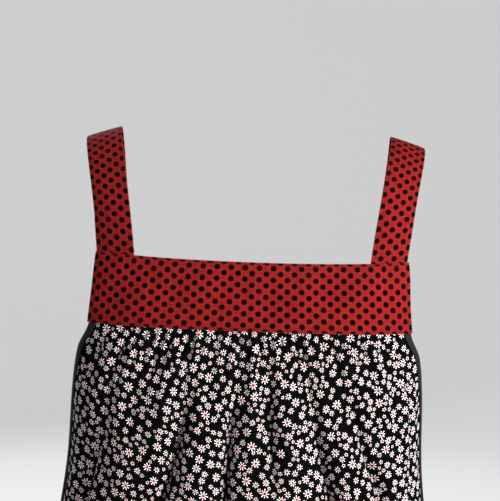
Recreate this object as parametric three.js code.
// A cobbler apron: a dotted yoke band in front and one behind, two shoulder straps that join them,
// a gathered panel of daisy cloth under each yoke, bias tape round the open sides and a waist tab.
//
// Millimetres, +Z up. The wearer faces -Y and +X is the wearer's left. The origin lies midway
// between the crests of the two straps, level with their undersides, where the apron hangs.
// A drop is a distance below the origin. An arc is a distance along the cloth, level with the
// ground, from the middle of the front or of the back towards the wearer's left.
import * as THREE from "three";

// Driving dimensions
const apronLength = 780; // strap crest to hem
const frontYokeDrop = 117; // strap crest to the corners of the front yoke's top edge
const backYokeDrop = 135; // the same behind, where the neckline is cut lower
const yokeHeight = 70; // at the side edges
const yokeTopSag = 4; // how far the yoke's top edge dips in the middle
const yokeWall = 2.0; // two layers and their turnings
const strapWidth = 39;
const strapWall = 2.0;
const strapLap = 14; // the strap's end behind the yoke
const strapSpread = 19; // how much further out a strap lies on the shoulder than at its foot
const shoulderSlope = 18.6; // degrees below level, towards the arm
const strapRise = 0.6; // how long the strap keeps its way up from a yoke, share of its rise
const strapFrontLean = 0.45; // how far out it has leaned by then in front, share of strapSpread
const strapBackLean = 1.1; // and behind
const strapShoulderRun = 0.52; // how long it lies level over the shoulder, share of its reach
const clothWall = 1.6; // the gathered panel, with its ease
const seamLap = 10; // the panel's top behind the yoke
const bindingWidth = 10;
const bindingWall = 1.0; // each leaf of the folded tape
const bindingGap = 0.5; // clearance between each leaf and the panel's edge inside it
const seatGap = 0.3; // clearance between pieces that are sewn together
const torsoHalfWidth = 185; // at the front yoke's top edge
const frontDepth = 120; // side line to the middle of the front, at the fullest of the chest
const backDepth = 94; // side line to the middle of the back, at the shoulder blades
const sideLine = -8; // where the widest points lie, front to back
const squareness = 3.0; // exponent of the section's superellipse
const gatherDepth = 2.2; // height of the small gathers under the seam
const gatherCount = 13;
const gatherReach = 190; // how far down the gathers fade out
// Gathers are never even: two slow waves shift them, each with its size and turn in radians.
const gatherWander = [
  { size: 1.1, waves: 7.3, turn: 0.6 },
  { size: 0.6, waves: 17, turn: 0 },
];
const puffReach = 26; // how far below the seam the cloth comes out to its full line
const foldDepth = 12; // depth of the deepest fold at the hem
const calmEdge = 18; // width beside the side edge that has no folds
const foldEase = 24; // width beside that where the folds die away
const tabDrop = 400; // strap crest to the top edge of the waist tabs
const tabHeight = 30;
const tabWall = 1.6;
const tabGap = 0.7; // clearance between a tab and the bindings that it lies behind
const tabLap = 22; // how far a tab reaches in from each side edge

// Numbers of facets
const bodyColumns = 54;
const panelRows = 13;
const yokeRows = 2; // above the seam
const strapColumns = 5;
const archRows = 22;
const tabColumns = 10;
const tabRows = 2;
const outlineSteps = 120; // steps in which a quarter of an outline is measured
const lengthProbe = 0.5; // half the step over which a slope is measured along a length
const shareProbe = 0.001; // and along a share

// Sections of the torso from the front yoke's top edge down to the hem.
// at: share of that length. halfWidth, front, back: shares of the torso's half width and depths.
// frontEdge, backEdge: where the garment's side edges lie, shares of the section's half width.
const sections = [
  { at: 0.0, halfWidth: 1.0, front: 0.767, back: 0.894, frontEdge: 0.836, backEdge: 0.893 },
  { at: 0.106, halfWidth: 0.989, front: 0.9, back: 0.979, frontEdge: 0.877, backEdge: 0.925 },
  { at: 0.147, halfWidth: 0.973, front: 0.942, back: 0.989, frontEdge: 0.945, backEdge: 0.95 },
  { at: 0.205, halfWidth: 0.97, front: 1.0, back: 1.0, frontEdge: 0.975, backEdge: 0.975 },
  { at: 0.318, halfWidth: 0.981, front: 1.017, back: 0.979, frontEdge: 0.982, backEdge: 0.982 },
  { at: 0.447, halfWidth: 1.038, front: 1.017, back: 0.979, frontEdge: 0.983, backEdge: 0.983 },
  { at: 0.727, halfWidth: 1.124, front: 1.083, back: 1.117, frontEdge: 0.983, backEdge: 0.983 },
  { at: 1.0, halfWidth: 1.2, front: 1.167, back: 1.255, frontEdge: 0.983, backEdge: 0.983 },
];

// Folds of a panel, from the wearer's right to the left.
// at, hem: where the fold lies at the seam and at the hem, share of the half arc.
// width: half its width at the seam, share of the half arc. depth: share of foldDepth, a ridge
// is below zero. from, until: where it starts and has died away, share of the panel's length.
const frontFolds = [
  { at: -0.66, hem: -0.86, width: 0.07, depth: 0.6, from: 0.08, until: 1.6 },
  { at: -0.55, hem: -0.6, width: 0.1, depth: 0.5, from: 0.0, until: 0.22 },
  { at: -0.42, hem: -0.62, width: 0.1, depth: -0.45, from: 0.05, until: 1.6 },
  { at: -0.25, hem: -0.46, width: 0.06, depth: 0.95, from: 0.02, until: 1.6 },
  { at: -0.15, hem: -0.24, width: 0.06, depth: -0.4, from: 0.05, until: 1.6 },
  { at: -0.065, hem: -0.1, width: 0.055, depth: 1.05, from: 0.02, until: 1.6 },
  { at: 0.09, hem: 0.18, width: 0.05, depth: 0.6, from: 0.01, until: 0.3 },
  { at: 0.17, hem: 0.2, width: 0.07, depth: -0.45, from: 0.06, until: 1.6 },
  { at: 0.28, hem: 0.49, width: 0.065, depth: 0.8, from: 0.02, until: 1.6 },
  { at: 0.36, hem: 0.66, width: 0.07, depth: -0.35, from: 0.1, until: 1.6 },
  { at: 0.44, hem: 0.83, width: 0.07, depth: 0.7, from: 0.02, until: 1.6 },
];
const backFolds = [
  { at: -0.6, hem: -0.82, width: 0.07, depth: 0.65, from: 0.05, until: 1.6 },
  { at: -0.36, hem: -0.5, width: 0.07, depth: 0.8, from: 0.02, until: 1.6 },
  { at: -0.22, hem: -0.32, width: 0.07, depth: -0.4, from: 0.05, until: 1.6 },
  { at: -0.1, hem: -0.14, width: 0.06, depth: 0.9, from: 0.03, until: 1.6 },
  { at: 0.04, hem: 0.04, width: 0.07, depth: -0.4, from: 0.06, until: 1.6 },
  { at: 0.16, hem: 0.22, width: 0.06, depth: 0.95, from: 0.02, until: 1.6 },
  { at: 0.34, hem: 0.42, width: 0.07, depth: -0.4, from: 0.06, until: 1.6 },
  { at: 0.45, hem: 0.6, width: 0.065, depth: 0.7, from: 0.02, until: 1.6 },
  { at: 0.64, hem: 0.85, width: 0.07, depth: 0.6, from: 0.06, until: 1.6 },
];
const foldGrowth = 0.14; // length over which a fold forms, share of the panel's length
const foldTopShare = 0.5; // depth of a fold near the seam, share of its depth at the hem
const foldSpread = 1.3; // how much wider a fold is at the hem than at the seam
const foldTurn = 0.5; // where a fold has drifted to its place at the hem, share of the length

// The front half of the apron faces -1, along -Y, and the back half faces 1.
const yokeDropOf = (facing) => (facing < 0 ? frontYokeDrop : backYokeDrop);
const seamDropOf = (facing) => yokeDropOf(facing) + yokeHeight;

// Small helpers

function mix(a, b, share) {
  return a + (b - a) * share;
}

function smooth(from, to, value) {
  const share = Math.min(1, Math.max(0, (value - from) / (to - from)));
  return share * share * (3 - 2 * share);
}

// A column of a table at a place between its rows, along a smooth curve through the rows.
function tableValue(table, column, at) {
  const last = table.length - 2;
  let row = 0;
  while (row < last && at > table[row + 1].at) row += 1;
  const [a, b] = [table[row], table[row + 1]];
  const slope = (low, high) => (high[column] - low[column]) / (high.at - low.at);
  const before = slope(table[Math.max(0, row - 1)], b);
  const after = slope(a, table[Math.min(last + 1, row + 2)]);
  const span = b.at - a.at;
  const share = (at - a.at) / span;
  const rest = 1 - share;
  return (
    a[column] * rest * rest * (1 + 2 * share) +
    b[column] * share * share * (1 + 2 * rest) +
    before * span * share * rest * rest -
    after * span * share * share * rest
  );
}

// The level outline of the cloth at one drop, in front or behind.
// It is a superellipse in polar form, walked in short steps so that arcs can be looked up.
const outlines = new Map();

function outlineAt(facing, drop) {
  const key = `${facing} ${drop.toFixed(4)}`;
  if (outlines.has(key)) return outlines.get(key);
  const at = (drop - frontYokeDrop) / (apronLength - frontYokeDrop);
  const halfWidth = torsoHalfWidth * tableValue(sections, "halfWidth", at);
  const depth =
    facing < 0
      ? frontDepth * tableValue(sections, "front", at)
      : backDepth * tableValue(sections, "back", at);
  const edge = tableValue(sections, facing < 0 ? "frontEdge" : "backEdge", at);
  const edgeDepth = depth * (1 - edge ** squareness) ** (1 / squareness);
  const edgeTurn = Math.atan2(edge * halfWidth, edgeDepth);
  const pointAt = (turn) => {
    const sum =
      Math.abs(Math.sin(turn) / halfWidth) ** squareness +
      Math.abs(Math.cos(turn) / depth) ** squareness;
    const reach = sum ** (-1 / squareness);
    return [reach * Math.sin(turn), sideLine + facing * reach * Math.cos(turn)];
  };
  const quarterTurn = Math.PI / 2;
  const places = [];
  let arc = 0;
  let edgeArc = 0;
  for (let i = 0; i <= outlineSteps; i += 1) {
    const turn = (quarterTurn * i) / outlineSteps;
    const [x, y] = pointAt(turn);
    if (i > 0) {
      const [lastX, lastY] = places[i - 1].point;
      const step = Math.hypot(x - lastX, y - lastY);
      if (turn > edgeTurn && edgeArc === 0) {
        const share = (edgeTurn - places[i - 1].turn) / (turn - places[i - 1].turn);
        edgeArc = arc + step * share;
      }
      arc += step;
    }
    places.push({ turn, arc, point: [x, y] });
  }
  const made = { places, pointAt, edgeArc, quarterArc: arc };
  outlines.set(key, made);
  return made;
}

// The point of an outline at an arc, which may be negative (the wearer's right).
function outlinePoint(outline, arc) {
  const { places } = outline;
  const length = Math.abs(arc);
  let low = 0;
  let high = places.length - 1;
  while (high - low > 1) {
    const middle = (low + high) >> 1;
    if (places[middle].arc > length) high = middle;
    else low = middle;
  }
  const share = (length - places[low].arc) / (places[high].arc - places[low].arc);
  const [x, y] = outline.pointAt(mix(places[low].turn, places[high].turn, share));
  return [Math.sign(arc) * x, y];
}

// The outline's outward direction at an arc, level with the ground.
function outlineNormal(outline, facing, arc) {
  const [ax, ay] = outlinePoint(outline, arc - lengthProbe);
  const [bx, by] = outlinePoint(outline, arc + lengthProbe);
  const length = Math.hypot(bx - ax, by - ay);
  return [(facing * (ay - by)) / length, (facing * (bx - ax)) / length];
}

// A point of the cloth at an arc and a drop, moved out from the outline by some lift.
function clothPoint(facing, arc, drop, lift) {
  const outline = outlineAt(facing, drop);
  const [x, y] = outlinePoint(outline, arc);
  const [nx, ny] = outlineNormal(outline, facing, arc);
  return new THREE.Vector3(x + nx * lift, y + ny * lift, -drop);
}

// A surface is a function of two parameters that gives a point. Its normal comes from two short
// steps along each parameter.
function normalOf(surface, u, v, stepU, stepV) {
  const along = surface(u + stepU, v).sub(surface(u - stepU, v));
  const down = surface(u, v + stepV).sub(surface(u, v - stepV));
  return along.cross(down).normalize();
}

function meshOf(positions, triangles) {
  const geometry = new THREE.BufferGeometry();
  geometry.setAttribute("position", new THREE.Float32BufferAttribute(positions.flat(), 3));
  geometry.setIndex(triangles);
  geometry.computeVertexNormals();
  return geometry;
}

// Adds a four-cornered facet as two triangles, split from a to c or from b to d. Facets of the
// cloth are split from the inner corner above to the outer corner below, on both sides alike, so
// that pieces which follow the same surface stay the same distance apart.
function addQuad(triangles, [a, b, c, d], fromA) {
  if (fromA) triangles.push(a, b, c, a, c, d);
  else triangles.push(a, b, d, b, c, d);
}

// A closed sheet of cloth round a surface, half a wall to each side of it.
function sheet(surface, us, vs, wall, stepU, stepV) {
  const positions = [];
  for (const side of [0.5, -0.5]) {
    for (const v of vs) {
      for (const u of us) {
        const normal = normalOf(surface, u, v, stepU, stepV);
        positions.push(surface(u, v).addScaledVector(normal, side * wall).toArray());
      }
    }
  }
  const columns = us.length;
  const inner = columns * vs.length;
  const triangles = [];
  for (let row = 0; row + 1 < vs.length; row += 1) {
    for (let column = 0; column + 1 < columns; column += 1) {
      const a = row * columns + column;
      const [b, c, d] = [a + 1, a + columns + 1, a + columns];
      const outwards = us[column] + us[column + 1] > 0;
      addQuad(triangles, [a, b, c, d], outwards);
      addQuad(triangles, [inner + a, inner + d, inner + c, inner + b], outwards);
    }
  }
  const rim = (from, to) => addQuad(triangles, [from, inner + from, inner + to, to], true);
  const lastRow = (vs.length - 1) * columns;
  for (let column = 0; column + 1 < columns; column += 1) {
    rim(column, column + 1);
    rim(lastRow + column + 1, lastRow + column);
  }
  for (let row = 0; row + 1 < vs.length; row += 1) {
    rim((row + 1) * columns, row * columns);
    rim((row + 1) * columns - 1, (row + 2) * columns - 1);
  }
  return meshOf(positions, triangles);
}

function spread(from, to, count) {
  return Array.from({ length: count + 1 }, (_, i) => mix(from, to, i / count));
}

// Yokes: a flat doubled band on the outline itself, whose top edge dips in the middle.

function yoke(facing) {
  const surface = (across, down) => {
    const sag = yokeTopSag * (1 - across * across) * (1 - down);
    const drop = yokeDropOf(facing) + yokeHeight * down + sag;
    return clothPoint(facing, across * outlineAt(facing, drop).edgeArc, drop, 0);
  };
  const across = spread(-1, 1, bodyColumns);
  const down = [...spread(0, 1 - seamLap / yokeHeight, yokeRows), 1];
  return sheet(surface, across, down, yokeWall, shareProbe, shareProbe);
}

// Straps: from behind the front yoke, up the chest, over the shoulder and down behind the back
// yoke. Its way from a yoke to the crest is one Bezier curve. Across its width it follows the
// yoke's curve at the foot and the straight slope of the shoulder at the crest.

const strapLift = -(yokeWall / 2 + seatGap + strapWall / 2);

function strapFoot(facing, side, across, drop) {
  const outline = outlineAt(facing, drop);
  const middle = outline.edgeArc - strapWidth / 2;
  return clothPoint(facing, side * (middle + across * strapWidth), drop, strapLift);
}

function strapSurface(side) {
  const slope = THREE.MathUtils.degToRad(shoulderSlope);
  const acrossCrest = new THREE.Vector3(side * Math.cos(slope), 0, -Math.sin(slope));
  const crestX = strapFoot(-1, side, 0, frontYokeDrop).x + side * strapSpread;
  const crest = new THREE.Vector3(crestX, 0, strapWall / 2 / Math.cos(slope));
  const ways = new Map();
  for (const facing of [-1, 1]) {
    const foot = strapFoot(facing, side, 0, yokeDropOf(facing));
    const lower = strapFoot(facing, side, 0, yokeDropOf(facing) + strapLap);
    const rise = crest.z - foot.z;
    const reach = crest.y - foot.y;
    const up = foot.clone().sub(lower).normalize();
    const chest = foot.clone().addScaledVector(up, rise * strapRise);
    chest.x = mix(foot.x, crest.x, facing < 0 ? strapFrontLean : strapBackLean);
    const shoulder = crest.clone();
    shoulder.y -= reach * strapShoulderRun;
    ways.set(facing, new THREE.CubicBezierCurve3(foot, chest, shoulder, crest));
  }
  // along: -2 to -1 is the lap behind the front yoke, -1 to 0 the way up to the crest, and 0 to 2
  // the same behind.
  return (across, along) => {
    const facing = along < 0 ? -1 : 1;
    const low = Math.abs(along);
    const yokeTop = yokeDropOf(facing);
    if (low > 1) return strapFoot(facing, side, across, yokeTop + strapLap * (low - 1));
    const share = 1 - low;
    const foot = strapFoot(facing, side, across, yokeTop).sub(
      strapFoot(facing, side, 0, yokeTop),
    );
    const slant = acrossCrest.clone().multiplyScalar(across * strapWidth);
    const offset = foot.lerp(slant, smooth(0, 1, share));
    return ways.get(facing).getPoint(share).add(offset);
  };
}

function strap(side) {
  const places = [-2, ...spread(-1, 1, archRows), 2];
  const across = spread(-0.5, 0.5, strapColumns);
  return sheet(strapSurface(side), across, places, strapWall, shareProbe, shareProbe);
}

// Panels: gathered under the yoke, then falling in soft folds that widen towards the hem.

function foldLift(folds, across, down) {
  let lift = 0;
  const depth = foldDepth * mix(foldTopShare, 1, down);
  for (const fold of folds) {
    const middle = mix(fold.at, fold.hem, smooth(0, foldTurn, down));
    const width = fold.width * mix(1, foldSpread, down);
    const grown = smooth(fold.from, fold.from + foldGrowth, down);
    const left = 1 - smooth(fold.until - foldGrowth, fold.until, down);
    const away = (across - middle) / width;
    lift -= depth * fold.depth * grown * left * Math.exp(-away * away);
  }
  return lift;
}

function gatherLift(across, depthBelow) {
  const rise = smooth(0, puffReach, depthBelow);
  const fade = 1 - smooth(puffReach / 2, gatherReach, depthBelow);
  const swing = gatherWander.reduce(
    (sum, { size, waves, turn }) => sum + size * Math.sin(waves * across + turn),
    0,
  );
  return gatherDepth * rise * fade * Math.sin(Math.PI * gatherCount * across + swing);
}

const panelInset = yokeWall / 2 + seatGap + clothWall / 2;

// The panel's own surface at an arc and a drop, with gathers and folds.
function panelPoint(facing, arc, drop) {
  const { edgeArc } = outlineAt(facing, drop);
  const across = arc / edgeArc;
  const below = drop - seamDropOf(facing);
  const down = Math.max(0, below / (apronLength - seamDropOf(facing)));
  const folds = facing < 0 ? frontFolds : backFolds;
  const inset = panelInset * (1 - smooth(0, puffReach, below));
  const calm = smooth(calmEdge, calmEdge + foldEase, edgeArc - Math.abs(arc));
  const lift = calm * (foldLift(folds, across, down) + gatherLift(across, below)) - inset;
  return clothPoint(facing, arc, drop, lift);
}

// Rows stand closer together near the seam, where the gathers are.
const rowCrowding = 1.6;
const rowDrops = (facing) =>
  spread(0, 1, panelRows).map((share) =>
    mix(seamDropOf(facing), apronLength, share ** rowCrowding),
  );

function panel(facing) {
  const margin = bindingWall + bindingGap;
  const surface = (across, drop) => {
    const { edgeArc } = outlineAt(facing, drop);
    return panelPoint(facing, across * (edgeArc - margin), drop);
  };
  const drops = [seamDropOf(facing) - seamLap, ...rowDrops(facing)];
  return sheet(surface, spread(-1, 1, bodyColumns), drops, clothWall, shareProbe, lengthProbe);
}

// Bindings: bias tape folded round the side edge of a panel, from the yoke down to the hem.
// Its section is a narrow U: points as distance in from the fold and lift from the cloth.

function bindingSection() {
  const slot = clothWall / 2 + bindingGap;
  const face = slot + bindingWall;
  const outerLeaf = [
    [bindingWidth, face],
    [bindingWidth / 2, face],
    [bindingWall, face],
    [0, slot / 2],
  ];
  const innerLeaf = outerLeaf.map(([inward, lift]) => [inward, -lift]).reverse();
  const slotPoints = [
    [bindingWidth, -slot],
    [bindingWidth / 2, -slot],
    [bindingWall, -slot],
    [bindingWall, slot],
    [bindingWidth / 2, slot],
    [bindingWidth, slot],
  ];
  return [...outerLeaf, ...innerLeaf, ...slotPoints];
}

function binding(facing, side) {
  const section = bindingSection();
  const drops = [seamDropOf(facing) + seatGap, ...rowDrops(facing).slice(1)];
  const positions = [];
  for (const drop of drops) {
    const { edgeArc } = outlineAt(facing, drop);
    const surface = (arc, at) => panelPoint(facing, arc, at);
    for (const [inward, lift] of section) {
      const arc = side * (edgeArc - inward);
      const normal = normalOf(surface, arc, drop, lengthProbe, lengthProbe);
      positions.push(surface(arc, drop).addScaledVector(normal, lift).toArray());
    }
  }
  const ring = section.length;
  const triangles = [];
  for (let row = 0; row + 1 < drops.length; row += 1) {
    for (let i = 0; i < ring; i += 1) {
      const j = (i + 1) % ring;
      const corners = [i, j, ring + j, ring + i].map((corner) => corner + row * ring);
      addQuad(triangles, corners, section[i][0] >= section[j][0]);
    }
  }
  const outline = section.map(([inward, lift]) => new THREE.Vector2(inward, lift));
  const last = (drops.length - 1) * ring;
  const turned = THREE.ShapeUtils.isClockWise(outline);
  for (const [a, b, c] of THREE.ShapeUtils.triangulateShape(outline, [])) {
    const [p, q, r] = turned ? [a, b, c] : [a, c, b];
    triangles.push(p, q, r, last + p, last + r, last + q);
  }
  if (side < 0) triangles.reverse();
  return meshOf(positions, triangles);
}

// Waist tabs: one plain strip on each side, from behind the front binding to behind the back one.

function tab(side) {
  const lift = -(clothWall / 2 + bindingGap + bindingWall + tabGap + tabWall / 2);
  const surface = (along, down) => {
    const drop = tabDrop + tabHeight * down;
    const facing = along < 0 ? -1 : 1;
    const outline = outlineAt(facing, drop);
    const arc = mix(outline.quarterArc, outline.edgeArc - tabLap, Math.abs(along));
    return clothPoint(facing, side * arc, drop, lift);
  };
  const along = spread(-1, 1, tabColumns);
  return sheet(surface, along, spread(0, 1, tabRows), tabWall, shareProbe, shareProbe);
}

// Materials
const redDotCotton = new THREE.MeshStandardMaterial({ color: 0xb4262a, roughness: 0.85 });
const daisyCotton = new THREE.MeshStandardMaterial({ color: 0x4c494a, roughness: 0.88 });
const blackBias = new THREE.MeshStandardMaterial({ color: 0x1b1d1f, roughness: 0.7 });

const apron = new THREE.Group();

function add(name, geometry, material) {
  const mesh = new THREE.Mesh(geometry, material);
  mesh.name = name;
  apron.add(mesh);
}

const facings = { front: -1, back: 1 };
const sides = { left: 1, right: -1 };
for (const [facingName, facing] of Object.entries(facings)) {
  add(`${facingName}_yoke`, yoke(facing), redDotCotton);
  add(`${facingName}_panel`, panel(facing), daisyCotton);
  for (const [sideName, side] of Object.entries(sides)) {
    add(`binding_${facingName}_${sideName}`, binding(facing, side), blackBias);
  }
}
for (const [sideName, side] of Object.entries(sides)) {
  add(`strap_${sideName}`, strap(side), redDotCotton);
  add(`side_tab_${sideName}`, tab(side), blackBias);
}

export default apron;
